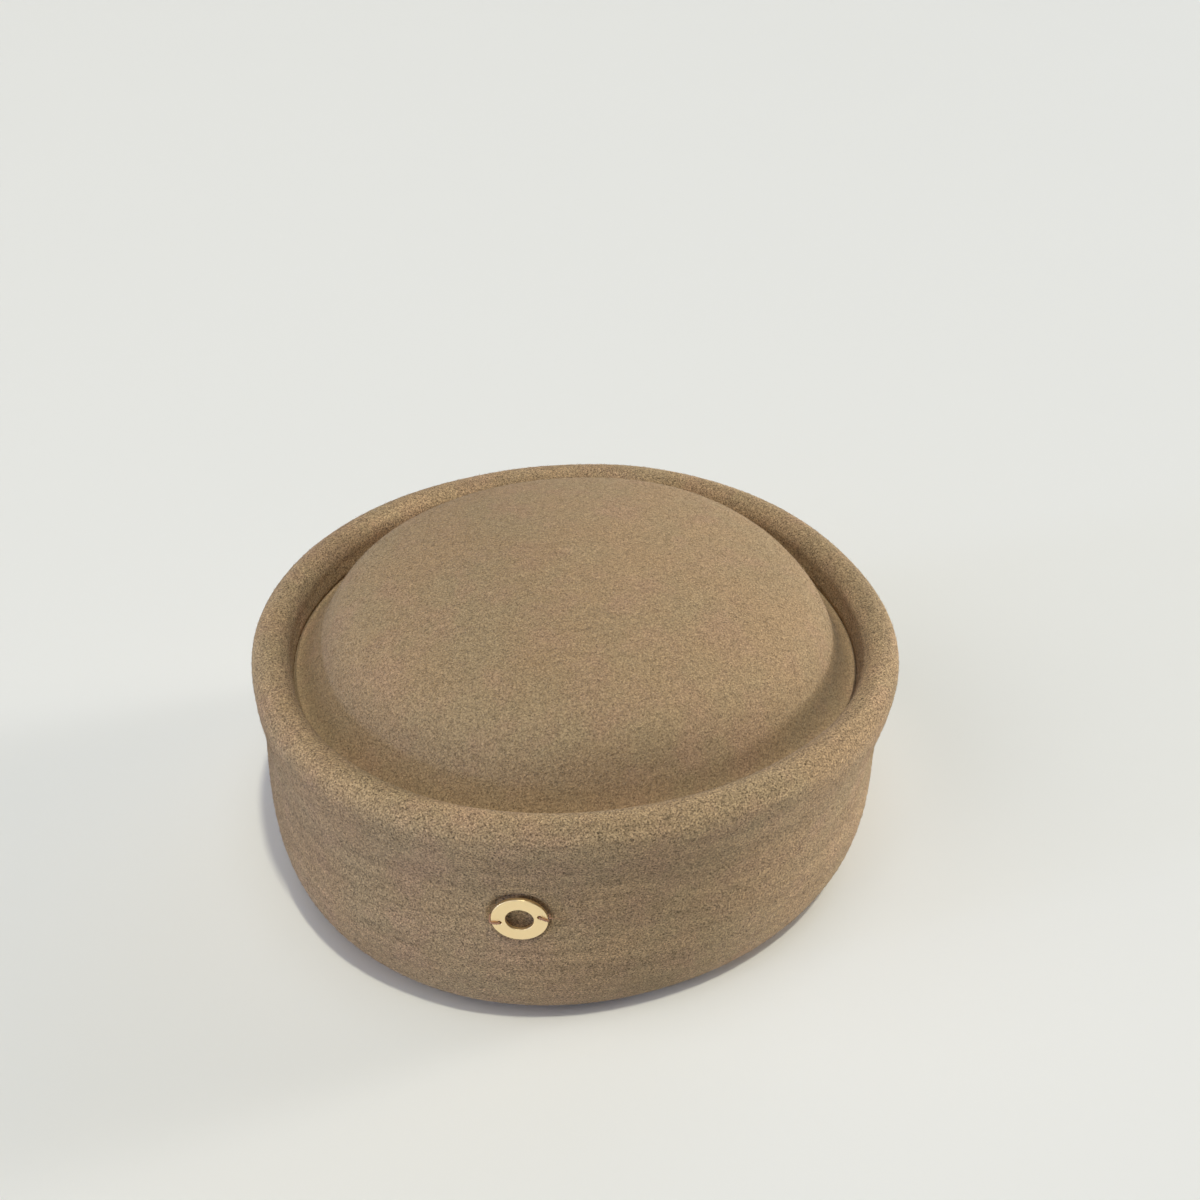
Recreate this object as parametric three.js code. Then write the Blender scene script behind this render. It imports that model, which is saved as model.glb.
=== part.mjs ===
// A stiff blocked felt hat: a pillbox band with a rolled rim, and a domed crown set down inside the rim.
// Millimetres, +Z up. X runs along the hat's long axis, and the metal ring is on the -Y side.
// The origin is on the surface that the hat rests on, below the middle of its oval.
import * as THREE from 'three';

// Oval of the gutter, the line where the band's rolled edge meets the crown
const gutterHalfLength = 104;
const gutterHalfWidth = 94;
const gutterHeight = 83.5;
const ovalPower = 2.1; // 2 is a plain ellipse, more is squarer
const roundingRadius = 87; // inside this mean radius the oval grows rounder towards the middle

// Felt
const feltThickness = 2.6;
const seatGap = 0.3; // between pieces that lie on each other

// Band, with reaches and insets measured from the gutter oval
const bandHeight = 97.5;
const rimDip = 1; // the rim is this much lower at the oval's ends and higher at its sides
const rimReach = 13.8;
const rimRadius = 6.5;
const waistHeight = 67;
const waistReach = 11.6;
const bulgeHeight = 33;
const bulgeReach = 13.6;
const contactInset = 0.9; // outer edge of the flat ring that the hat rests on
const openingInset = 9; // face of the turned-in hem that meets the head
const hemHeight = 14;
const hemFold = 0.4; // inner radius of the hem's fold

// Crown
const crestRise = 22; // the shallow curve that runs over the whole crown
const shoulderRise = 18.5; // and the steep shoulder under it
const shoulderPower = 18; // more brings the shoulder closer to the gutter
const footPower = 6; // more lets the shoulder's foot run out more softly in the gutter's floor
const flangeReach = 3.2; // crown felt that lies under the band's rolled edge

// Metal ring, sewn on through two small holes
const ringRadius = 9;
const ringHoleRadius = 4.5;
const ringThickness = 1.2;
const ringEdge = 0.25;
const sewingHoleRadius = 0.7;
const sewingHoleReach = 6.5;
const ringHeight = 59.3;
const ringTurn = THREE.MathUtils.degToRad(244.7); // round the oval from +X
const ringRoll = THREE.MathUtils.degToRad(15);

// How finely curves are cut
const ovalSides = 48;
const crownSteps = 14;
const heelSteps = 6;
const sideSteps = 4;
const rimSteps = 8;
const ringSides = 32;
const sewingHoleSides = 8;

// Places that follow from the sizes above
const gutterRadius = (gutterHalfLength + gutterHalfWidth) / 2;
const ovalStretch = (gutterHalfLength - gutterHalfWidth) / 2;
const rimCentreRadius = gutterRadius + rimReach - rimRadius;
const rimCentreHeight = bandHeight - rimRadius;

const felt = new THREE.MeshStandardMaterial({ color: 0x97805f, roughness: 0.95, metalness: 0 });
const gold = new THREE.MeshStandardMaterial({ color: 0xe2c48c, roughness: 0.25, metalness: 1 });

// A point of the hat. The radius is the mean of the oval's half length and half width, and the turn goes
// round the oval from +X.
function onOval(radius, height, turn) {
  const stretch = ovalStretch * Math.min(1, radius / roundingRadius);
  const cosine = Math.cos(turn);
  const sine = Math.sin(turn);
  const along = Math.sign(cosine) * Math.abs(cosine) ** (2 / ovalPower);
  const across = Math.sign(sine) * Math.abs(sine) ** (2 / ovalPower);
  const share = (height / bandHeight) * Math.min(1, radius / gutterRadius) ** 2;
  const dip = rimDip * share * Math.cos(2 * turn);
  return new THREE.Vector3((radius + stretch) * along, (radius - stretch) * across, height - dip);
}

// Rises from 0 to 1 with a level start and end
function ease(share) {
  return (1 - Math.cos(Math.PI * share)) / 2;
}

// How far the upright side of the band stands out from the gutter oval at a height above the bulge
function sideReach(height) {
  if (height < waistHeight) {
    const share = (height - bulgeHeight) / (waistHeight - bulgeHeight);
    return THREE.MathUtils.lerp(bulgeReach, waistReach, ease(share));
  }
  const share = (height - waistHeight) / (rimCentreHeight - waistHeight);
  return THREE.MathUtils.lerp(waistReach, rimReach, ease(share));
}

// Points of an arc of an ellipse, from one angle to another in degrees
function arc(centreRadius, centreHeight, reach, rise, from, to, steps) {
  return Array.from({ length: steps + 1 }, (_, step) => {
    const angle = THREE.MathUtils.degToRad(THREE.MathUtils.lerp(from, to, step / steps));
    const radius = centreRadius + reach * Math.cos(angle);
    return new THREE.Vector2(radius, centreHeight + rise * Math.sin(angle));
  });
}

// Section of the band at a depth under its outer skin: up from the hem's free edge inside, under the
// bottom, round the bulging heel, up the side, over the rim and down to the gutter
function bandSection(depth) {
  const openingRadius = gutterRadius - openingInset;
  const foldRadius = hemFold + feltThickness;
  const foldCentre = openingRadius + foldRadius;
  const contactRadius = gutterRadius - contactInset;
  const heelReach = bulgeReach + contactInset - depth;
  const rim = rimRadius - depth;
  const line = [new THREE.Vector2(openingRadius + depth, hemHeight)];
  line.push(...arc(foldCentre, foldRadius, foldRadius - depth, foldRadius - depth, 180, 270, 2));
  line.push(...arc(contactRadius, bulgeHeight, heelReach, bulgeHeight - depth, 270, 360, heelSteps));
  for (let step = 1; step < sideSteps * 2; step += 1) {
    const lower = step <= sideSteps;
    const share = lower ? step / sideSteps : step / sideSteps - 1;
    const [from, to] = lower ? [bulgeHeight, waistHeight] : [waistHeight, rimCentreHeight];
    const height = THREE.MathUtils.lerp(from, to, share);
    line.push(new THREE.Vector2(gutterRadius + sideReach(height) - depth, height));
  }
  line.push(...arc(rimCentreRadius, rimCentreHeight, rim, rim, 0, 180, rimSteps));
  const innerTop = rimCentreRadius - rim;
  const innerFoot = gutterHeight + seatGap;
  for (const share of [0.5, 1]) {
    const radius = THREE.MathUtils.lerp(innerTop, gutterRadius + depth, ease(share));
    line.push(new THREE.Vector2(radius, THREE.MathUtils.lerp(rimCentreHeight, innerFoot, share)));
  }
  return line;
}

// Section of the crown at a depth under its upper skin: from the top of the dome over its steep shoulder
// to the gutter's floor, and on under the band's rolled edge. Steps lie closer together towards the
// gutter, where the felt bends. Half the depth goes inwards, which keeps the shoulder's thickness.
function crownSection(depth) {
  const line = [];
  for (let step = 0; step <= crownSteps; step += 1) {
    const share = (step / crownSteps) ** 0.45;
    const crest = crestRise * (1 - share ** 2);
    const shoulder = shoulderRise * (1 - share ** shoulderPower) ** footPower;
    const radius = (gutterRadius - depth / 2) * share;
    line.push(new THREE.Vector2(radius, gutterHeight + crest + shoulder - depth));
  }
  line.push(new THREE.Vector2(gutterRadius + flangeReach, gutterHeight - depth));
  return line;
}

// A felt piece turned from its section and then brought to the hat's oval
function feltShell(name, profile) {
  const geometry = new THREE.LatheGeometry(profile, ovalSides);
  geometry.rotateX(Math.PI / 2);
  const place = geometry.attributes.position;
  for (let index = 0; index < place.count; index += 1) {
    const radius = Math.hypot(place.getX(index), place.getY(index));
    const turn = Math.atan2(place.getY(index), place.getX(index));
    place.setXYZ(index, ...onOval(radius, place.getZ(index), turn));
  }
  geometry.computeVertexNormals();
  const mesh = new THREE.Mesh(geometry, felt);
  mesh.name = name;
  return mesh;
}

function sideBand() {
  const outside = bandSection(0);
  const inside = bandSection(feltThickness).reverse();
  return feltShell('side_band', [...outside, ...inside, outside[0]]);
}

function crown() {
  const top = crownSection(0).reverse();
  const underside = crownSection(feltThickness);
  return feltShell('crown', [...underside, ...top]);
}

function roundHole(x, radius) {
  return new THREE.Path().absarc(x, 0, radius, 0, 2 * Math.PI, true);
}

// Flat ring with rounded edges. Its back lies just clear of the point of the wall that stands furthest
// out behind it.
function metalRing() {
  const outline = new THREE.Shape().absarc(0, 0, ringRadius, 0, 2 * Math.PI, false);
  outline.holes.push(roundHole(0, ringHoleRadius));
  // an arc gets two sides for each segment asked for
  const plate = { steps: 1, depth: ringThickness - 2 * ringEdge, curveSegments: ringSides / 2 };
  const edges = { bevelThickness: ringEdge, bevelSize: ringEdge, bevelOffset: -ringEdge, bevelSegments: 1 };
  for (const side of [-1, 1]) {
    const hole = roundHole(side * sewingHoleReach, sewingHoleRadius);
    outline.holes.push(new THREE.Path(hole.getPoints(sewingHoleSides / 2).slice(1)));
  }
  const geometry = new THREE.ExtrudeGeometry(outline, { ...plate, ...edges });
  geometry.translate(0, 0, ringEdge);

  const wall = (height, turn) => onOval(gutterRadius + sideReach(height), height, turn);
  const low = wall(ringHeight - ringRadius, ringTurn);
  const high = wall(ringHeight + ringRadius, ringTurn);
  const up = high.clone().sub(low).normalize();
  const sideStep = ringRadius / gutterRadius;
  const along = wall(ringHeight, ringTurn + sideStep).sub(wall(ringHeight, ringTurn - sideStep)).normalize();
  const out = along.clone().cross(up).normalize();
  const right = up.clone().cross(out);
  const middle = low.clone().add(high).multiplyScalar(0.5);
  let proud = 0;
  for (let height = ringHeight - ringRadius; height <= ringHeight + ringRadius; height += ringRadius / 4) {
    proud = Math.max(proud, wall(height, ringTurn).sub(middle).dot(out));
  }
  const mesh = new THREE.Mesh(geometry, gold);
  mesh.name = 'metal_ring';
  mesh.quaternion.setFromRotationMatrix(new THREE.Matrix4().makeBasis(right, up, out));
  mesh.rotateZ(ringRoll);
  mesh.position.copy(middle).addScaledVector(out, proud + seatGap);
  return mesh;
}

const hat = new THREE.Group();
hat.add(sideBand(), crown(), metalRing());

export default hat;
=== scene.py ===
# Looks of a stiff blocked felt hat: oval band with a rolled rim, domed crown sunk in it, small sewn ring.
# Metres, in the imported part's frame: +Z up, X along the oval, the ring on the -Y side, floor at z = 0.
import math

import bmesh
import bpy
import numpy as np
from mathutils import Matrix, Vector


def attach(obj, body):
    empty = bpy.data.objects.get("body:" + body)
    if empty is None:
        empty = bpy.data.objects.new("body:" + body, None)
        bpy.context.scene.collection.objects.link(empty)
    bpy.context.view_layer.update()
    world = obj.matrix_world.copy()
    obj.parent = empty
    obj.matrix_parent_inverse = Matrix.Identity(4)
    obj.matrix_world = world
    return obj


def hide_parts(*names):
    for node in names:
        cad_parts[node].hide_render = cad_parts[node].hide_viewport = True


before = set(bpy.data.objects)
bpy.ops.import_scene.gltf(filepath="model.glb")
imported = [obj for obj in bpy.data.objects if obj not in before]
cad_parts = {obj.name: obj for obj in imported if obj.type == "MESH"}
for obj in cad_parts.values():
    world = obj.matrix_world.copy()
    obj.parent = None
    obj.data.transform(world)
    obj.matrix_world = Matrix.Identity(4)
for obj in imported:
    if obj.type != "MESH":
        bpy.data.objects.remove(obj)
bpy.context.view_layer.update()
mm = 0.001

# The felt body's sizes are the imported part's own
hat = {
    'gutterHalfLength': 104 * mm,
    'gutterHalfWidth': 94 * mm,
    'gutterHeight': 83.5 * mm,
    'ovalPower': 2.1,           # 2 is a plain ellipse, more is squarer
    'roundingRadius': 87 * mm,  # inside this mean radius the oval grows rounder towards the middle
    'feltThickness': 2.6 * mm,
    'seatGap': 0.3 * mm,
}
gutterRadius = (hat['gutterHalfLength'] + hat['gutterHalfWidth']) / 2
ovalStretch = (hat['gutterHalfLength'] - hat['gutterHalfWidth']) / 2

band = {
    'height': 97.5 * mm,
    'rimDip': 1 * mm,
    'rimReach': 13.8 * mm,
    'rimRadius': 6.5 * mm,
    'waistHeight': 67 * mm,
    'waistReach': 11.6 * mm,
    'bulgeHeight': 33 * mm,
    'bulgeReach': 13.6 * mm,
    'contactInset': 0.9 * mm,
    'openingInset': 9 * mm,
    'hemHeight': 14 * mm,
    'hemFold': 0.4 * mm,
    'skinStep': 1.35 * mm,      # spacing of the mesh's rows on the outer skin
    'ringStep': 0.55 * mm,      # and behind the ring
    'insideStep': 3.2 * mm,
    'turnStep': 2.1 * mm,
    'fineTurn': 15 * mm,        # half the length and half the height of the finer patch behind the ring
    'fineHeight': 13 * mm,
    'fineBlend': 2 * mm,
}
rimCentreRadius = gutterRadius + band['rimReach'] - band['rimRadius']
rimCentreHeight = band['height'] - band['rimRadius']

crown = {
    'crestRise': 22 * mm,
    'shoulderRise': 18.5 * mm,
    'shoulderPower': 18,
    'footPower': 6,
    'flangeReach': 3.2 * mm,
    'lipInset': 0.95 * mm,      # the raised light edge that runs along the gutter
    'lipWidth': 0.5 * mm,
    'lipRise': 0.55 * mm,
    'lipStep': 0.3 * mm,        # spacing of the mesh's rows over the lip
    'lipReach': 2 * mm,
    'skinStep': 1.4 * mm,       # and on the rest of the upper skin
    'insideStep': 3.2 * mm,
    'turnStep': 2.1 * mm,
}

ring = {
    'radius': 9 * mm,
    'holeRadius': 4.5 * mm,
    'thickness': 1.2 * mm,
    'edge': 0.25 * mm,
    'sewingHoleRadius': 0.7 * mm,
    'sewingHoleReach': 6.5 * mm,
    'height': 59.3 * mm,
    'turn': math.radians(244.7),
    'roll': math.radians(15),
    'dent': 0.9 * mm,           # the stitches pull the ring into the felt
    'dentStart': 0.2 * mm,
    'dentSlope': 1.7 * mm,
    'puff': 0.35 * mm,          # and the felt swells a little round it
    'puffReach': 2.6 * mm,
    'puffWidth': 1.5 * mm,
    'wallDepth': 12 * mm,       # felt further behind or before the ring than this stays as it is
}


def ease(share):
    # Half a cosine wave from 0 to 1, level at both ends
    return (1 - np.cos(np.pi * share)) / 2


def bell(distance, width):
    # The curve e^-(distance / width)^2
    return np.exp(-(distance / width) ** 2)


def onOval(radius, height, turn):
    # (radius + stretch) cos^(2/power), (radius - stretch) sin^(2/power): a superellipse whose stretch
    # fades inside the dome. The height dips at the oval's ends by rimDip cos(2 turn), more towards the rim.
    stretch = ovalStretch * np.minimum(1, radius / hat['roundingRadius'])
    along = np.sign(np.cos(turn)) * np.abs(np.cos(turn)) ** (2 / hat['ovalPower'])
    across = np.sign(np.sin(turn)) * np.abs(np.sin(turn)) ** (2 / hat['ovalPower'])
    share = height / band['height'] * np.minimum(1, radius / gutterRadius) ** 2
    dip = band['rimDip'] * share * np.cos(2 * turn)
    return np.stack([(radius + stretch) * along, (radius - stretch) * across, height - dip], axis=-1)


def sideReach(height):
    # How far the wall stands out from the gutter oval: it eases from the bulge in to the waist, and from
    # the waist out to the rim
    low = ease((height - band['bulgeHeight']) / (band['waistHeight'] - band['bulgeHeight']))
    high = ease((height - band['waistHeight']) / (rimCentreHeight - band['waistHeight']))
    below = band['bulgeReach'] + (band['waistReach'] - band['bulgeReach']) * low
    above = band['waistReach'] + (band['rimReach'] - band['waistReach']) * high
    return np.where(height < band['waistHeight'], below, above)


def arcLine(centre, reach, rise, start, end, count=80):
    # Part of an ellipse: centre + (reach cos, rise sin) of an angle that runs from start to end in degrees
    angle = np.radians(np.linspace(start, end, count))
    return np.stack([centre[0] + reach * np.cos(angle), centre[1] + rise * np.sin(angle)], axis=1)


def bandSkin(depth):
    # Section of the band at a depth under its outer skin, as (radius, height): hem, fold, elliptic heel,
    # eased side, half-round rim and eased inner wall down to the gutter.
    opening = gutterRadius - band['openingInset']
    fold = band['hemFold'] + hat['feltThickness']
    contact = gutterRadius - band['contactInset']
    heel = band['bulgeReach'] + band['contactInset'] - depth
    rim = band['rimRadius'] - depth
    hemTop = band['hemHeight'] - hat['feltThickness'] / 2
    hem = np.stack([np.full(20, opening + depth), np.linspace(hemTop, fold, 20)], axis=1)
    foldArc = arcLine((opening + fold, fold), fold - depth, fold - depth, 180, 270)
    heelArc = arcLine((contact, band['bulgeHeight']), heel, band['bulgeHeight'] - depth, 270, 360)
    height = np.linspace(band['bulgeHeight'], rimCentreHeight, 160)
    side = np.stack([gutterRadius + sideReach(height) - depth, height], axis=1)
    rimArc = arcLine((rimCentreRadius, rimCentreHeight), rim, rim, 0, 180)
    share = np.linspace(0, 1, 60)
    innerTop = rimCentreRadius - rim
    innerFoot = hat['gutterHeight'] + hat['seatGap']
    innerRadius = innerTop + (gutterRadius + depth - innerTop) * ease(share)
    inner = np.stack([innerRadius, rimCentreHeight + (innerFoot - rimCentreHeight) * share], axis=1)
    return np.concatenate([hem, foldArc[1:], heelArc, side[1:], rimArc[1:], inner[1:]])


def crownSkin(depth):
    # Section of the crown at a depth under its upper skin, from the dome's top over its shoulder to the
    # gutter and on along the hidden flange. The height is the sum of a shallow crest (1 - share^2), a steep
    # shoulder (1 - share^shoulderPower)^footPower and a low bell-shaped lip at the gutter.
    share = np.linspace(0, 1, 600)
    radius = (gutterRadius - depth / 2) * share
    crest = crown['crestRise'] * (1 - share ** 2)
    shoulder = crown['shoulderRise'] * (1 - share ** crown['shoulderPower']) ** crown['footPower']
    lip = crown['lipRise'] * bell(gutterRadius - crown['lipInset'] - radius, crown['lipWidth'])
    height = hat['gutterHeight'] + crest + shoulder + lip - depth
    flange = [[gutterRadius + crown['flangeReach'], hat['gutterHeight'] - depth]]
    return np.concatenate([np.stack([radius, height], axis=1), flange])


def spreadAlong(line, stepAt):
    # Points along a line whose spacing follows stepAt: the sum of length / step, cut into equal parts
    length = np.linalg.norm(np.diff(line, axis=0), axis=1)
    middle = (line[1:] + line[:-1]) / 2
    count = np.concatenate([[0], np.cumsum(length / stepAt(middle))])
    wanted = np.linspace(0, count[-1], int(round(count[-1])) + 1)
    return np.stack([np.interp(wanted, count, line[:, axis]) for axis in (0, 1)], axis=1)


def turnsRound(step):
    # Angles once round the oval, a step apart, and closer where the ring is sewn on
    angle = np.linspace(0, 2 * np.pi, 4001)
    away = np.abs(angle - ring['turn']) * gutterRadius
    near = 1 / (1 + np.exp((away - band['fineTurn']) / band['fineBlend']))
    density = gutterRadius / (step + (band['ringStep'] - step) * near)
    count = np.concatenate([[0], np.cumsum((density[1:] + density[:-1]) / 2 * np.diff(angle))])
    return np.interp(np.linspace(0, count[-1], int(round(count[-1])) + 1)[:-1], count, angle)


def wallPoint(height, turn):
    return onOval(gutterRadius + sideReach(np.array(height)), np.array(height), np.array(turn))


def unit(vector):
    return vector / np.linalg.norm(vector, axis=-1, keepdims=True)


def ringSeat():
    # The ring leans as the wall leans between its lowest and highest edge, and lies just clear of the
    # point of the wall that stands furthest out behind it. Rows of the result: right, up, out.
    low = wallPoint(ring['height'] - ring['radius'], ring['turn'])
    high = wallPoint(ring['height'] + ring['radius'], ring['turn'])
    step = ring['radius'] / gutterRadius
    along = wallPoint(ring['height'], ring['turn'] + step) - wallPoint(ring['height'], ring['turn'] - step)
    up = unit(high - low)
    out = unit(np.cross(unit(along), up))
    right = np.cross(up, out)
    middle = (low + high) / 2
    heights = ring['height'] + ring['radius'] * np.linspace(-1, 1, 9)
    proud = max(0, ((wallPoint(heights, ring['turn']) - middle) @ out).max())
    rolled = [
        right * math.cos(ring['roll']) + up * math.sin(ring['roll']),
        up * math.cos(ring['roll']) - right * math.sin(ring['roll']),
        out,
    ]
    return np.array(rolled), middle + out * (proud + hat['seatGap'])


ringAxes, ringPlace = ringSeat()

# The felt was blocked and brushed by hand, so no line of it is quite true
unevenness = {
    'seed': 11,
    'waves': 14,
    'shortest': 38 * mm,
    'longest': 120 * mm,
    'height': 0.16 * mm,
    'riseHeight': 20 * mm,      # the waves fade out below this, so that the hat stands level
    'rimShift': 0.9 * mm,       # the rim leans this far along X
}


def handBlocked(points):
    # Adds long plane waves of small height to every coordinate, and lets the rim lean a little
    rng = np.random.default_rng(unevenness['seed'])
    moved = points.copy()
    for _ in range(unevenness['waves']):
        direction = unit(rng.normal(size=3))
        wavelength = rng.uniform(unevenness['shortest'], unevenness['longest'])
        push = unit(rng.normal(size=3)) * unevenness['height']
        push[2] *= 0.5
        phase = rng.uniform(0, 2 * np.pi)
        rise = np.clip(points[..., 2] / unevenness['riseHeight'], 0, 1)
        wave = rise * np.sin(2 * np.pi * (points @ direction) / wavelength + phase)
        moved += wave[..., None] * push
    lean = np.clip(points[..., 2] / band['height'], 0, 1) ** 2
    moved[..., 0] += unevenness['rimShift'] * lean
    return moved


def ringDent(points, skinOut):
    # Pulls the felt in under the ring and lets it swell round the ring's edge
    local = (points - ringPlace) @ ringAxes.T
    distance = np.hypot(local[..., 0], local[..., 1])
    near = np.abs(local[..., 2]) < ring['wallDepth']
    inside = 1 - ease(np.clip((distance - ring['radius'] + ring['dentStart']) / ring['dentSlope'], 0, 1))
    swell = bell(distance - ring['radius'] - ring['puffReach'], ring['puffWidth'])
    push = near * (ring['puff'] * swell - ring['dent'] * inside)
    return points + push[..., None] * skinOut


def outward(grid, closed):
    # Normals of a grid of points, from the cross product of the steps along its rows and columns
    if closed:
        down = (np.roll(grid, -1, axis=0) - np.roll(grid, 1, axis=0)) / 2
    else:
        down = np.gradient(grid, axis=0)
    sideways = (np.roll(grid, -1, axis=1) - np.roll(grid, 1, axis=1)) / 2
    cross = np.cross(sideways, down)
    return cross / np.maximum(np.linalg.norm(cross, axis=-1, keepdims=True), 1e-12)


def gridFaces(rows, columns, closed):
    # Four-sided faces between neighbouring rows and columns; columns always close round the oval
    row = np.arange(rows if closed else rows - 1)[:, None]
    column = np.arange(columns)[None, :]
    nextRow = (row + 1) % rows
    nextColumn = (column + 1) % columns
    corners = [row * columns + column, nextRow * columns + column,
               nextRow * columns + nextColumn, row * columns + nextColumn]
    return np.stack([np.broadcast_to(c, (len(row), columns)) for c in corners], axis=-1).reshape(-1, 4)


def addPiece(name, points, faces, material):
    mesh = bpy.data.meshes.new(name)
    mesh.from_pydata(points.reshape(-1, 3).tolist(), [], faces)
    mesh.validate()
    mesh.polygons.foreach_set('use_smooth', np.ones(len(mesh.polygons), bool))
    mesh.materials.append(material)
    piece = bpy.data.objects.new(name, mesh)
    bpy.context.scene.collection.objects.link(piece)
    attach(piece, 'root')
    return piece


def addGrain(piece, lengthAlong, points):
    # A place on the felt whose third number runs along the section and whose first two creep round the
    # oval, so that a noise read there is drawn out round the hat
    creep = 0.09
    down = np.broadcast_to(lengthAlong[:, None], points.shape[:2])
    grain = np.stack([points[..., 0] * creep, points[..., 1] * creep, down], axis=-1).reshape(-1, 3)
    short = len(piece.data.vertices) - len(grain)
    if short:
        grain = np.concatenate([grain, np.zeros((short, 3))])
        grain[-short:, 2] = [lengthAlong[0], lengthAlong[-1]]
    layer = piece.data.attributes.new('grain', 'FLOAT_VECTOR', 'POINT')
    layer.data.foreach_set('vector', grain.ravel())


def lineLength(line):
    return np.concatenate([[0], np.cumsum(np.linalg.norm(np.diff(line, axis=0), axis=1))])


# Felt: three close tones, and how many times a metre each mark of its pattern repeats
feltLook = {
    'camel': (0.396, 0.267, 0.151),
    'olive': (0.378, 0.270, 0.155),
    'rose': (0.404, 0.263, 0.161),
    'cloudScale': 34,
    'roseScale': 58,
    'grainScale': 1700,
    'curlScale': 520,
    'pitScale': 760,
    'strokeScale': 240,
    'bumpHeight': 0.26 * mm,
}
# How strongly each mark shows on each piece: the band was brushed, the crown was pressed smooth.
# The band's stronger grain is partly painted shade and light, for light grazing the fibres of its upright
# wall
feltMarks = {
    # the band's grain of 0.76 against the crown's 0.46 is partly painted shading of light grazing the
    # upright wall
    'band': {'grain': 0.76, 'curl': 0.26, 'pit': 0.22, 'stroke': 0.16},
    'crown': {'grain': 0.46, 'curl': 0.12, 'pit': 0.12, 'stroke': 0.0},
}


def newMaterial(name):
    material = bpy.data.materials.new(name)
    material.use_nodes = True
    tree = material.node_tree
    tree.nodes.clear()
    output = tree.nodes.new('ShaderNodeOutputMaterial')
    shader = tree.nodes.new('ShaderNodeBsdfPrincipled')
    tree.links.new(shader.outputs[0], output.inputs['Surface'])
    return material, tree, shader


def noise(tree, place, scale, detail=3.0, roughness=0.6, distortion=0.0):
    node = tree.nodes.new('ShaderNodeTexNoise')
    node.inputs['Scale'].default_value = scale
    node.inputs['Detail'].default_value = detail
    node.inputs['Roughness'].default_value = roughness
    node.inputs['Distortion'].default_value = distortion
    tree.links.new(place, node.inputs['Vector'])
    return node.outputs['Fac']


def mapped(tree, value, low, high, newLow, newHigh):
    node = tree.nodes.new('ShaderNodeMapRange')
    tree.links.new(value, node.inputs['Value'])
    for socket, number in (('From Min', low), ('From Max', high), ('To Min', newLow), ('To Max', newHigh)):
        node.inputs[socket].default_value = number
    return node.outputs['Result']


def combined(tree, operation, first, second):
    node = tree.nodes.new('ShaderNodeMath')
    node.operation = operation
    for socket, value in zip(node.inputs, (first, second)):
        if isinstance(value, (int, float)):
            socket.default_value = value
        else:
            tree.links.new(value, socket)
    return node.outputs[0]


def blended(tree, share, first, second):
    node = tree.nodes.new('ShaderNodeMix')
    node.data_type = 'RGBA'
    tree.links.new(share, node.inputs['Factor'])
    colours = [socket for socket in node.inputs if socket.type == 'RGBA']
    for socket, colour in zip(colours, (first, second)):
        if isinstance(colour, tuple):
            socket.default_value = (*colour, 1)
        else:
            tree.links.new(colour, socket)
    return [socket for socket in node.outputs if socket.type == 'RGBA'][0]


def scaled(tree, colour, factor):
    node = tree.nodes.new('ShaderNodeVectorMath')
    node.operation = 'SCALE'
    tree.links.new(colour, node.inputs[0])
    tree.links.new(factor, node.inputs['Scale'])
    return node.outputs[0]


def bumped(tree, shader, height, distance, strength=1.0):
    node = tree.nodes.new('ShaderNodeBump')
    node.inputs['Distance'].default_value = distance
    node.inputs['Strength'].default_value = strength
    tree.links.new(height, node.inputs['Height'])
    tree.links.new(node.outputs['Normal'], shader.inputs['Normal'])


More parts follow.
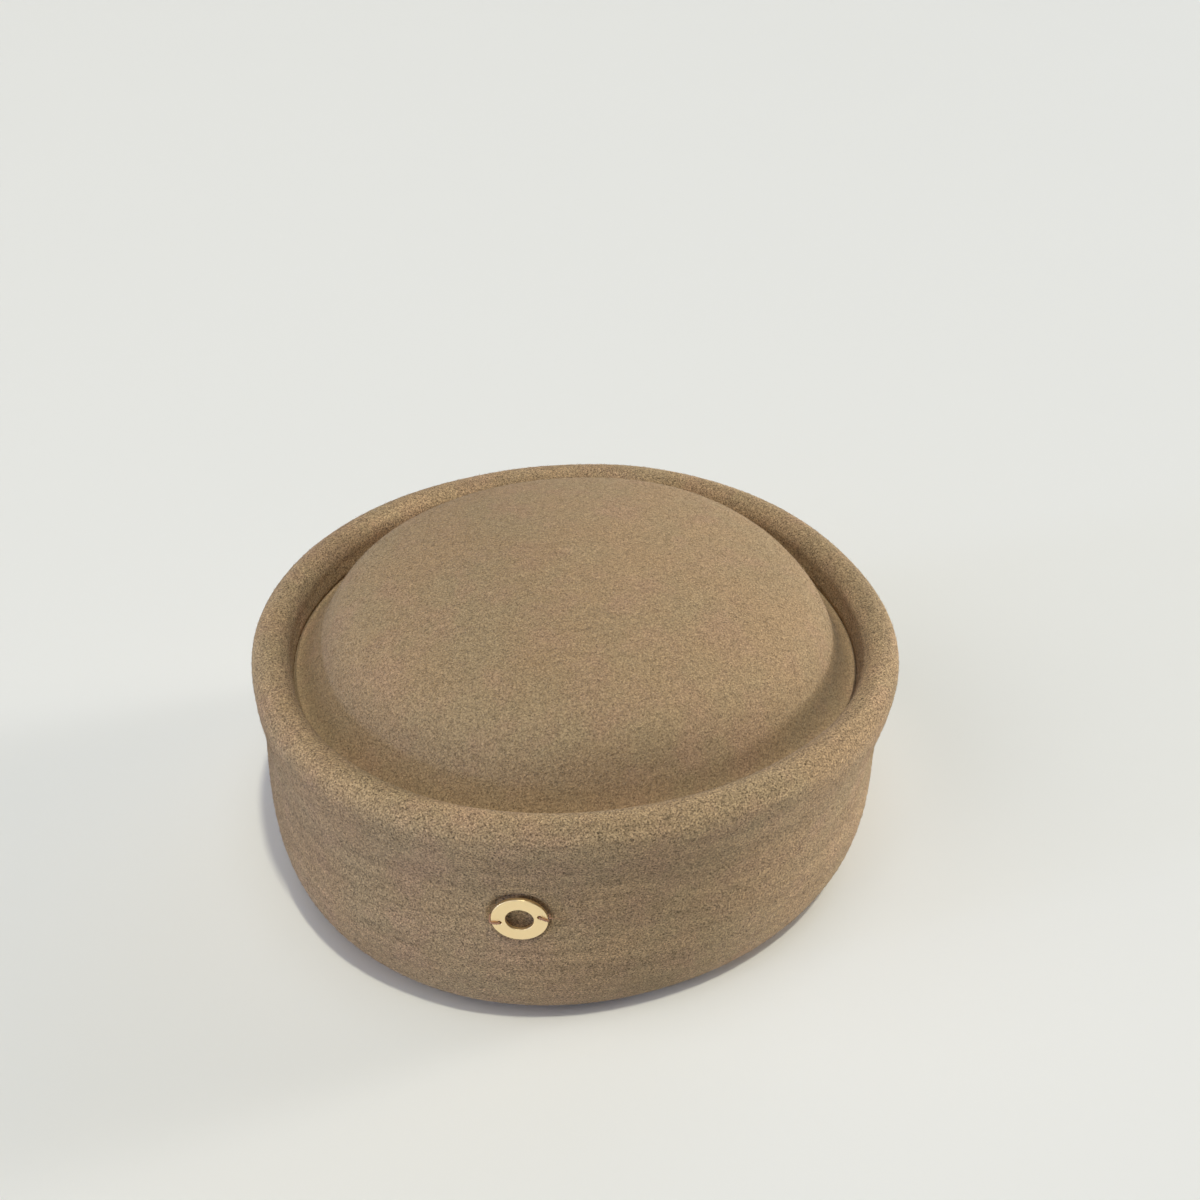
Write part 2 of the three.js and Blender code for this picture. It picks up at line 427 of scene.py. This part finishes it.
def feltMaterial(name, marks):
    # Camel melange. Three close tones lie in broad clouds. Over them come a fine grain of light and dark
    # fibres, short pale curls (thin bands where a wavy noise crosses its middle, broken up by a second
    # noise), small pits that dip in the bump and are painted darker as shade in them, and faint strokes of
    # the brush round the hat.
    material, tree, shader = newMaterial(name)
    place = tree.nodes.new('ShaderNodeTexCoord').outputs['Object']
    grainNode = tree.nodes.new('ShaderNodeAttribute')
    grainNode.attribute_name = 'grain'
    clouds = mapped(tree, noise(tree, place, feltLook['cloudScale'], 3, 0.55), 0.38, 0.62, 0, 1)
    rosy = mapped(tree, noise(tree, place, feltLook['roseScale'], 3, 0.6), 0.48, 0.68, 0, 0.8)
    tone = blended(tree, clouds, feltLook['camel'], feltLook['olive'])
    tone = blended(tree, rosy, tone, feltLook['rose'])
    grain = noise(tree, place, feltLook['grainScale'], 2, 0.7, 0.4)
    wave = noise(tree, place, feltLook['curlScale'], 2, 0.5, 1.6)
    away = combined(tree, 'ABSOLUTE', combined(tree, 'SUBTRACT', wave, 0.5), 0)
    broken = mapped(tree, noise(tree, place, feltLook['curlScale'] * 1.7, 1, 0.5), 0.46, 0.56, 0, 1)
    curl = combined(tree, 'MULTIPLY', mapped(tree, away, 0, 0.035, 1, 0), broken)
    # pits: a small dip in the bump, with painted shade darkening the colour in it
    pit = mapped(tree, noise(tree, place, feltLook['pitScale'], 1.5, 0.5, 0.3), 0.34, 0.41, 1, 0)
    stroke = noise(tree, grainNode.outputs['Vector'], feltLook['strokeScale'], 4, 0.65, 0.4)
    grainShade = mapped(tree, grain, 0.3, 0.7, 1 - marks['grain'], 1 + marks['grain'])
    strokeShade = mapped(tree, stroke, 0.3, 0.7, 1 - marks['stroke'], 1 + marks['stroke'])
    shade = combined(tree, 'MULTIPLY', grainShade, strokeShade)
    shade = combined(tree, 'MULTIPLY', shade, mapped(tree, curl, 0, 1, 1, 1 + marks['curl']))
    shade = combined(tree, 'MULTIPLY', shade, mapped(tree, pit, 0, 1, 1, 1 - marks['pit']))
    tree.links.new(scaled(tree, tone, shade), shader.inputs['Base Color'])
    height = combined(tree, 'ADD', grain, combined(tree, 'MULTIPLY', curl, 0.45))
    height = combined(tree, 'SUBTRACT', height, combined(tree, 'MULTIPLY', pit, 0.2))
    bumped(tree, shader, height, feltLook['bumpHeight'])
    shader.inputs['Roughness'].default_value = 0.96
    shader.inputs['Specular IOR Level'].default_value = 0.12
    shader.inputs['Sheen Weight'].default_value = 0.10
    shader.inputs['Sheen Roughness'].default_value = 0.5
    shader.inputs['Sheen Tint'].default_value = (1.0, 0.93, 0.84, 1)
    return material


def goldMaterial():
    # Pale gold plate with a satin polish: soft clouds in its gloss
    material, tree, shader = newMaterial('pale_gold')
    place = tree.nodes.new('ShaderNodeTexCoord').outputs['Object']
    gloss = mapped(tree, noise(tree, place, 500, 2), 0.3, 0.7, 0.36, 0.44)
    tree.links.new(gloss, shader.inputs['Roughness'])
    bumped(tree, shader, noise(tree, place, 420, 2), 0.006 * mm, 0.5)
    shader.inputs['Base Color'].default_value = (1.0, 0.79, 0.46, 1)
    shader.inputs['Metallic'].default_value = 1
    return material


def threadMaterial():
    # Copper brown sewing thread, paler where its plies turn to the light
    material, tree, shader = newMaterial('copper_thread')
    place = tree.nodes.new('ShaderNodeTexCoord').outputs['Object']
    tone = blended(tree, noise(tree, place, 2600, 2), (0.26, 0.115, 0.062), (0.50, 0.29, 0.185))
    tree.links.new(tone, shader.inputs['Base Color'])
    bumped(tree, shader, noise(tree, place, 5200, 2), 0.03 * mm, 0.8)
    shader.inputs['Roughness'].default_value = 0.5
    shader.inputs['Sheen Weight'].default_value = 0.3
    shader.inputs['Sheen Roughness'].default_value = 0.3
    return material


def napMaterial():
    # Loose fibres are a little paler than the felt they stand on
    material, tree, shader = newMaterial('felt_nap')
    place = tree.nodes.new('ShaderNodeTexCoord').outputs['Object']
    tone = blended(tree, mapped(tree, noise(tree, place, 600, 2), 0.3, 0.7, 0, 1),
                   (0.30, 0.205, 0.118), (0.62, 0.47, 0.31))
    tree.links.new(tone, shader.inputs['Base Color'])
    shader.inputs['Roughness'].default_value = 0.7
    shader.inputs['Specular IOR Level'].default_value = 0.25
    return material


bandFelt = feltMaterial('band_felt', feltMarks['band'])
crownFelt = feltMaterial('crown_felt', feltMarks['crown'])
gold = goldMaterial()
thread = threadMaterial()
nap = napMaterial()
print('materials ready')


def buildBand():
    # Section once round: outer skin, inner skin back again, and a half-round free edge on the hem
    outside = bandSkin(0)
    inside = bandSkin(hat['feltThickness'])[::-1]
    half = hat['feltThickness'] / 2
    hemCentre = (gutterRadius - band['openingInset'] + half, band['hemHeight'] - half)
    hemEdge = arcLine(hemCentre, half, half, 0, 180, 9)

    def skinStep(middle):
        near = np.abs(middle[:, 1] - ring['height']) < band['fineHeight']
        return np.where(near, band['ringStep'], band['skinStep'])

    def insideStep(middle):
        return np.full(len(middle), band['insideStep'])

    outsideLine = spreadAlong(outside, skinStep)
    insideLine = spreadAlong(inside, insideStep)
    section = np.concatenate([outsideLine, insideLine, hemEdge[1:-1]])
    turns = turnsRound(band['turnStep'])
    grid = handBlocked(onOval(section[:, None, 0], section[:, None, 1], turns[None, :]))
    skin = len(outsideLine)
    normals = outward(grid, True)
    facing = np.sign((normals[skin // 2] * (grid[skin // 2] - grid[skin // 2].mean(0))).sum())
    normals = normals * facing
    grid[:skin] = ringDent(grid[:skin], normals[:skin])
    faces = gridFaces(len(section), len(turns), True)
    if facing > 0:
        faces = faces[:, ::-1]
    piece = addPiece('felt_band', grid, faces.tolist(), bandFelt)
    addGrain(piece, lineLength(section), grid)
    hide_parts('side_band')
    return grid[:skin], normals[:skin]


def buildCrown():
    # Section from the dome's top out to the flange and back under it; a fan closes each pole
    def skinStep(middle):
        near = np.abs(middle[:, 0] - gutterRadius + crown['lipInset']) < crown['lipReach']
        return np.where(near, crown['lipStep'], crown['skinStep'])

    def insideStep(middle):
        return np.full(len(middle), crown['insideStep'])

    top = spreadAlong(crownSkin(0), skinStep)
    under = spreadAlong(crownSkin(hat['feltThickness']), insideStep)[::-1]
    section = np.concatenate([top[1:], under[:-1]])
    turns = turnsRound(crown['turnStep'])
    grid = handBlocked(onOval(section[:, None, 0], section[:, None, 1], turns[None, :]))
    poleHeights = np.array([top[0, 1], under[-1, 1]])
    poles = handBlocked(onOval(np.zeros(2), poleHeights, np.zeros(2)))
    normals = outward(grid, False)
    facing = np.sign(normals[4, :, 2].sum())
    normals = normals * facing
    faces = gridFaces(len(section), len(turns), False)
    columns = len(turns)
    column = np.arange(columns)
    nextColumn = (column + 1) % columns
    last = (len(section) - 1) * columns
    topPole = np.full(columns, grid.size // 3)
    fans = [np.stack([topPole, column, nextColumn], axis=1),
            np.stack([topPole + 1, last + nextColumn, last + column], axis=1)]
    if facing > 0:
        faces = faces[:, ::-1]
        fans = [fan[:, ::-1] for fan in fans]
    points = np.concatenate([grid.reshape(-1, 3), poles])
    faceList = faces.tolist() + fans[0].tolist() + fans[1].tolist()
    piece = addPiece('felt_crown', points, faceList, crownFelt)
    addGrain(piece, lineLength(section), grid)
    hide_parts('crown')
    return grid[:len(top) - 1], normals[:len(top) - 1]


bandGrid, bandNormals = buildBand()
crownGrid, crownNormals = buildCrown()
print('felt ready', bandGrid.shape, crownGrid.shape)


def buildRing():
    # A flat sheet cut through by a middle hole and two sewing holes, given its thickness by Solidify and
    # its rounded edges by Bevel. The sheet is a fan of rings between two radii, apart from a cell round
    # each sewing hole, where loops step from the cell's outline in to the hole.
    inner, outer = ring['holeRadius'], ring['radius']
    cellTurn = math.radians(16)
    steps = 8
    radii = np.linspace(inner, outer, steps + 1)
    points = []
    faces = []

    def addGrid(grid):
        rows, columns = grid.shape[:2]
        start = len(points)
        points.extend(grid.reshape(-1, 2).tolist())
        for row in range(rows - 1):
            for column in range(columns - 1):
                corner = start + row * columns + column
                faces.append((corner, corner + columns, corner + columns + 1, corner + 1))

    def polar(radius, angle):
        return np.stack([radius * np.cos(angle), radius * np.sin(angle)], axis=-1)

    for side in (0, np.pi):
        angle = np.linspace(side + cellTurn, side + np.pi - cellTurn, 41)
        addGrid(polar(radii[:, None], angle[None, :]))
        sweep = np.linspace(side - cellTurn, side + cellTurn, steps + 1)
        outline = np.concatenate([
            polar(outer, sweep), polar(radii[::-1][1:], sweep[-1]),
            polar(inner, sweep[::-1][1:]), polar(radii[1:], sweep[0])])
        centre = polar(ring['sewingHoleReach'], side)
        away = outline - centre
        hole = centre + ring['sewingHoleRadius'] * unit(away)
        share = np.linspace(0, 1, 6)[:, None, None]
        addGrid(outline[None] * (1 - share) + hole[None] * share)
    flat = np.array(points)
    placed = ringPlace + flat[:, :1] * ringAxes[0] + flat[:, 1:] * ringAxes[1]
    piece = addPiece('gold_ring', placed, faces, gold)
    weldPiece(piece, ringAxes[2])
    solid = piece.modifiers.new('thickness', 'SOLIDIFY')
    solid.thickness = ring['thickness']
    solid.offset = 1
    bevel = piece.modifiers.new('edges', 'BEVEL')
    bevel.width = ring['edge']
    bevel.segments = 3
    bevel.limit_method = 'ANGLE'
    bevel.angle_limit = math.radians(60)
    bevel.harden_normals = True
    applyModifiers(piece)
    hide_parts('metal_ring')


def weldPiece(piece, facing):
    # Joins the doubled points and turns every face the same way
    work = bmesh.new()
    work.from_mesh(piece.data)
    bmesh.ops.remove_doubles(work, verts=work.verts, dist=0.01 * mm)
    for face in work.faces:
        face.normal_update()
    turned = [face for face in work.faces if face.normal.dot(Vector(facing)) < 0]
    bmesh.ops.reverse_faces(work, faces=turned)
    work.to_mesh(piece.data)
    work.free()


def applyModifiers(piece):
    graph = bpy.context.evaluated_depsgraph_get()
    made = bpy.data.meshes.new_from_object(piece.evaluated_get(graph))
    piece.modifiers.clear()
    piece.data = made


buildRing()

stitch = {
    'strandRadius': 0.19 * mm,
    'twist': 0.17 * mm,         # how far each strand winds from the thread's middle
    'pitch': 1.5 * mm,
    'sides': 7,
    'step': 0.12 * mm,
    'looseFibre': (0.09 * mm, 0.035 * mm),  # its radius at the root and at the tip
}


def smoothPath(corners, step):
    # Catmull-Rom curve through the corners, at an even step
    corners = np.array(corners)
    padded = np.concatenate([[2 * corners[0] - corners[1]], corners, [2 * corners[-1] - corners[-2]]])
    pieces = []
    t = np.linspace(0, 1, 40)[:-1, None]
    for a, b, c, d in zip(padded[:-3], padded[1:-2], padded[2:-1], padded[3:]):
        pieces.append(0.5 * (2 * b + (c - a) * t + (2 * a - 5 * b + 4 * c - d) * t ** 2
                             + (3 * b - a - 3 * c + d) * t ** 3))
    fine = np.concatenate([*pieces, corners[-1:]])
    length = lineLength(fine)
    wanted = np.linspace(0, length[-1], max(4, int(length[-1] / step)))
    return np.stack([np.interp(wanted, length, fine[:, axis]) for axis in range(3)], axis=1)


def tubeAlong(path, radius, sides):
    # Rings of points round a path, square to it, closed by a point at each end. The radius may vary
    # along the path.
    ahead = unit(np.gradient(path, axis=0))
    side = np.zeros_like(path)
    guess = np.array([0.31, 0.57, 0.76])
    for index, direction in enumerate(ahead):
        guess = guess - direction * (guess @ direction)
        guess = guess / np.linalg.norm(guess)
        side[index] = guess
    other = np.cross(ahead, side)
    angle = np.linspace(0, 2 * np.pi, sides, endpoint=False)
    radius = np.broadcast_to(radius, len(path))
    ringed = (path[:, None] + radius[:, None, None] * (
        side[:, None] * np.cos(angle)[None, :, None] + other[:, None] * np.sin(angle)[None, :, None]))
    count = len(path)
    faces = gridFaces(count, sides, False)[:, ::-1].tolist()
    start, end = count * sides, count * sides + 1
    for k in range(sides):
        after = (k + 1) % sides
        faces.append([start, after, k])
        faces.append([end, (count - 1) * sides + k, (count - 1) * sides + after])
    tips = np.array([path[0] - ahead[0] * radius[0] * 0.6, path[-1] + ahead[-1] * radius[-1] * 0.6])
    return np.concatenate([ringed.reshape(-1, 3), tips]), faces


def toHat(local):
    return ringPlace + np.asarray(local) @ ringAxes


def joined(parts):
    points = []
    faces = []
    start = 0
    for partPoints, partFaces in parts:
        points.append(partPoints)
        faces += [[index + start for index in face] for face in partFaces]
        start += len(partPoints)
    return np.concatenate(points), faces


def twisted(path, phase):
    # Two strands wound round the thread's path, half a turn apart
    ahead = unit(np.gradient(path, axis=0))
    side = unit(np.cross(ahead, [0.21, 0.11, 0.97]))
    other = np.cross(ahead, side)
    angle = phase + 2 * np.pi * lineLength(path)[:, None] / stitch['pitch']
    return path + stitch['twist'] * (side * np.cos(angle) + other * np.sin(angle))


def buildStitches():
    # Each stitch comes up through a sewing hole, crosses the ring's face and dives into the felt at its
    # outer edge. Places are in the ring's own axes: right, up and out from its middle.
    face = ring['thickness']
    hole = ring['sewingHoleReach']
    lay = stitch['strandRadius'] + stitch['twist']
    left = [(-hole, 0, -2.2 * mm), (-hole, 0, 0.3 * mm), (-hole - 0.25 * mm, 0.05 * mm, face + lay * 0.7),
            (-hole - 1.1 * mm, 0.25 * mm, face + lay), (-hole - 2.2 * mm, 0.6 * mm, face + lay * 0.9),
            (-hole - 2.85 * mm, 0.85 * mm, face - 0.2 * mm), (-hole - 3.0 * mm, 0.95 * mm, -1.0 * mm),
            (-hole - 2.8 * mm, 0.95 * mm, -2.4 * mm)]
    right = [(hole, 0, -2.2 * mm), (hole, 0, 0.3 * mm), (hole + 0.25 * mm, -0.1 * mm, face + lay * 0.7),
             (hole + 1.0 * mm, -0.55 * mm, face + lay * 1.1), (hole + 1.9 * mm, -1.3 * mm, face + lay),
             (hole + 2.45 * mm, -1.75 * mm, face - 0.1 * mm), (hole + 2.7 * mm, -1.9 * mm, -0.9 * mm),
             (hole + 2.5 * mm, -1.9 * mm, -2.4 * mm)]
    parts = []
    for route in (left, right):
        path = smoothPath(toHat(route), stitch['step'])
        for phase in (0, np.pi):
            parts.append(tubeAlong(twisted(path, phase), stitch['strandRadius'], stitch['sides']))
    # the right stitch's knot has a loop that stands off the edge and one loose fibre end
    loop = [(hole + 2.3 * mm, -1.6 * mm, 0.2 * mm), (hole + 2.9 * mm, -1.0 * mm, 1.0 * mm),
            (hole + 3.7 * mm, -1.2 * mm, 0.9 * mm), (hole + 3.6 * mm, -2.0 * mm, 0.5 * mm),
            (hole + 2.8 * mm, -2.1 * mm, -0.4 * mm), (hole + 2.7 * mm, -2.0 * mm, -2.0 * mm)]
    path = smoothPath(toHat(loop), stitch['step'])
    parts.append(tubeAlong(path, stitch['strandRadius'] * 0.9, stitch['sides']))
    loose = [(hole + 2.6 * mm, -1.9 * mm, -1.2 * mm), (hole + 3.4 * mm, -1.5 * mm, 0.6 * mm),
             (hole + 5.0 * mm, -1.7 * mm, 0.8 * mm), (hole + 7.6 * mm, -2.6 * mm, 0.5 * mm)]
    path = smoothPath(toHat(loose), stitch['step'])
    thin = np.linspace(*stitch['looseFibre'], len(path))
    parts.append(tubeAlong(path, thin, 5))
    points, faces = joined(parts)
    addPiece('ring_stitches', points, faces, thread)


buildStitches()
print('ring and stitches ready')

fuzz = {
    'seed': 5,
    'count': 33000,             # on the band; the crown has three quarters of it
    'length': (0.9 * mm, 3.2 * mm),
    'width': (0.025 * mm, 0.055 * mm),
    'lift': (0.05 * mm, 0.45 * mm),
    'liftPower': 2.5,           # more leaves more of the fibres lying flat
    'turn': 0.75,               # how far headings stray from the way round the hat, in radians
    'bend': 0.7,
    'rootDepth': 0.05 * mm,
    'clearance': 0.4 * mm,      # tips stay this far above the floor
    'lowest': 2 * mm,           # no fibres on the band below this height
}


def buildNap(name, grid, normals, count, seed):
    # Loose fibres: each is a slim three-sided spindle from a root in the felt over a bent middle to a
    # free tip. Roots are spread evenly by area over the grid's cells.
    rng = np.random.default_rng(seed)
    rows, columns = grid.shape[:2]
    right = np.roll(grid, -1, axis=1)
    across = right[:-1] - grid[:-1]
    down = grid[1:] - grid[:-1]
    area = np.linalg.norm(np.cross(across, down), axis=-1).ravel()
    cell = rng.choice(area.size, count, p=area / area.sum())
    row, column = np.divmod(cell, columns)
    a, b = rng.random((2, count, 1))
    root = grid[row, column] + a * across[row, column] + b * down[row, column]
    normal = normals[row, column]
    along = unit(across[row, column] + 1e-9)
    side = np.cross(normal, along)
    heading = rng.normal(0, fuzz['turn'], count) + np.pi * rng.integers(0, 2, count)
    bend = rng.normal(0, fuzz['bend'], count)
    first = along * np.cos(heading)[:, None] + side * np.sin(heading)[:, None]
    second = along * np.cos(heading + bend)[:, None] + side * np.sin(heading + bend)[:, None]
    length = rng.uniform(*fuzz['length'], (count, 1))
    flat, steep = fuzz['lift']
    lift = flat + (steep - flat) * rng.random((count, 1)) ** fuzz['liftPower']
    width = rng.uniform(*fuzz['width'], (count, 1))
    base = root - normal * fuzz['rootDepth']
    middle = root + first * length * 0.5 + normal * (0.04 * mm + lift * 0.35)
    tip = middle + second * length * 0.5 + normal * lift * 0.65
    tip[:, 2] = np.maximum(tip[:, 2], fuzz['clearance'])
    sideways = np.cross(unit(tip - base), normal)
    angle = np.array([0, 2, 4]) * np.pi / 3
    loop = middle[:, None] + width[:, None] * (
        sideways[:, None] * np.cos(angle)[None, :, None] + normal[:, None] * np.sin(angle)[None, :, None])
    points = np.concatenate([base[:, None], loop, tip[:, None]], axis=1)
    pattern = np.array([[0, 2, 1], [0, 3, 2], [0, 1, 3], [4, 1, 2], [4, 2, 3], [4, 3, 1]])
    faces = (np.arange(count)[:, None, None] * 5 + pattern[None]).reshape(-1, 3)
    addPiece(name, points, faces.tolist(), nap)


# The band's rows start at the hem inside, so the first sixth of them is passed over
rowHeights = bandGrid[..., 2].min(axis=1)
pastHem = np.arange(len(bandGrid)) > len(bandGrid) / 6
firstRow = int(np.argmax(rowHeights * pastHem > fuzz['lowest']))
buildNap('band_nap', bandGrid[firstRow:], bandNormals[firstRow:], fuzz['count'], fuzz['seed'])
buildNap('crown_nap', crownGrid[3:-3], crownNormals[3:-3], fuzz['count'] * 3 // 4, fuzz['seed'] + 1)
print('nap ready')

# Stage: a plain pale floor
floorLook = {
    'size': 14,
    'colour': (0.80, 0.80, 0.79),
    'cloudShade': 0.99,         # faint clouds, so that the floor is not quite even
    'cloudScale': 3,
}


def buildFloor():
    half = floorLook['size'] / 2
    corners = [(-half, -half, 0), (half, -half, 0), (half, half, 0), (-half, half, 0)]
    mesh = bpy.data.meshes.new('floor')
    mesh.from_pydata(corners, [], [(0, 1, 2, 3)])
    material, tree, shader = newMaterial('pale_floor')
    place = tree.nodes.new('ShaderNodeTexCoord').outputs['Object']
    shaded = tuple(channel * floorLook['cloudShade'] for channel in floorLook['colour'])
    tone = blended(tree, noise(tree, place, floorLook['cloudScale'], 2), shaded, floorLook['colour'])
    tree.links.new(tone, shader.inputs['Base Color'])
    shader.inputs['Roughness'].default_value = 0.7
    shader.inputs['Specular IOR Level'].default_value = 0.08
    mesh.materials.append(material)
    floor = bpy.data.objects.new('floor', mesh)
    bpy.context.scene.collection.objects.link(floor)


buildFloor()

# Soft light from distant panels, in degrees. Azimuth 0 is from -Y, where the camera is, and 90 from +X.
world = {'colour': (0.90, 0.95, 1.0), 'strength': 0.03}
panels = {
    'key': dict(azimuth=16, elevation=75, spread=2.5, colour=(1.0, 0.97, 0.78), strength=1.26),
    'sky': dict(azimuth=350, elevation=82, spread=36, colour=(0.84, 0.92, 1.0), strength=0.85),
    'right': dict(azimuth=88, elevation=11, spread=20, colour=(1.0, 0.87, 0.68), strength=0.95),
    'backRight': dict(azimuth=120, elevation=25, spread=45, colour=(0.35, 0.60, 1.0), strength=0.30),
    'back': dict(azimuth=160, elevation=50, spread=60, colour=(1.0, 0.88, 0.80), strength=0.22),
    'left': dict(azimuth=272, elevation=38, spread=45, colour=(1.0, 0.92, 0.86), strength=0.80),
    'frontLeft': dict(azimuth=305, elevation=24, spread=45, colour=(0.20, 0.50, 1.0), strength=0.24),
    'leftHorizon': dict(azimuth=270, elevation=5, spread=8, colour=(0.52, 0.63, 1.0), strength=0.85),
    'rightHorizon': dict(azimuth=88, elevation=5, spread=8, colour=(0.92, 0.92, 0.94), strength=2.05),
}


def buildLights():
    background = bpy.data.worlds.new('room')
    background.use_nodes = True
    node = background.node_tree.nodes['Background']
    node.inputs['Color'].default_value = (*world['colour'], 1)
    node.inputs['Strength'].default_value = world['strength']
    bpy.context.scene.world = background
    for name, panel in panels.items():
        light = bpy.data.lights.new(name, 'SUN')
        light.energy = panel['strength']
        light.color = panel['colour']
        light.angle = math.radians(panel['spread'])
        lamp = bpy.data.objects.new(name, light)
        bpy.context.scene.collection.objects.link(lamp)
        tilt = Matrix.Rotation(math.radians(90 - panel['elevation']), 4, 'X')
        lamp.matrix_world = Matrix.Rotation(math.radians(panel['azimuth']), 4, 'Z') @ tilt


buildLights()

camera = {
    'place': (-0.11678, -0.31928, 0.35778),
    'heading': math.radians(21.47),
    'pitch': math.radians(36.84),
    'roll': math.radians(2.35),
    'lens': 34.92,
}


def buildCamera():
    heading, pitch, roll = camera['heading'], camera['pitch'], camera['roll']
    level = Vector((math.cos(heading), -math.sin(heading), 0))
    ahead = Vector((math.sin(heading), math.cos(heading), 0))
    look = ahead * math.cos(pitch) - Vector((0, 0, math.sin(pitch)))
    lift = ahead * math.sin(pitch) + Vector((0, 0, math.cos(pitch)))
    right = level * math.cos(roll) + lift * math.sin(roll)
    up = lift * math.cos(roll) - level * math.sin(roll)
    data = bpy.data.cameras.new('camera')
    data.lens = camera['lens']
    data.sensor_width = 36
    data.clip_start = 0.01
    eye = bpy.data.objects.new('camera', data)
    bpy.context.scene.collection.objects.link(eye)
    turn = Matrix((right, up, -look)).transposed().to_4x4()
    eye.matrix_world = Matrix.Translation(camera['place']) @ turn
    bpy.context.scene.camera = eye


buildCamera()
bpy.context.scene.view_settings.view_transform = 'Standard'
print('stage, light and camera ready')
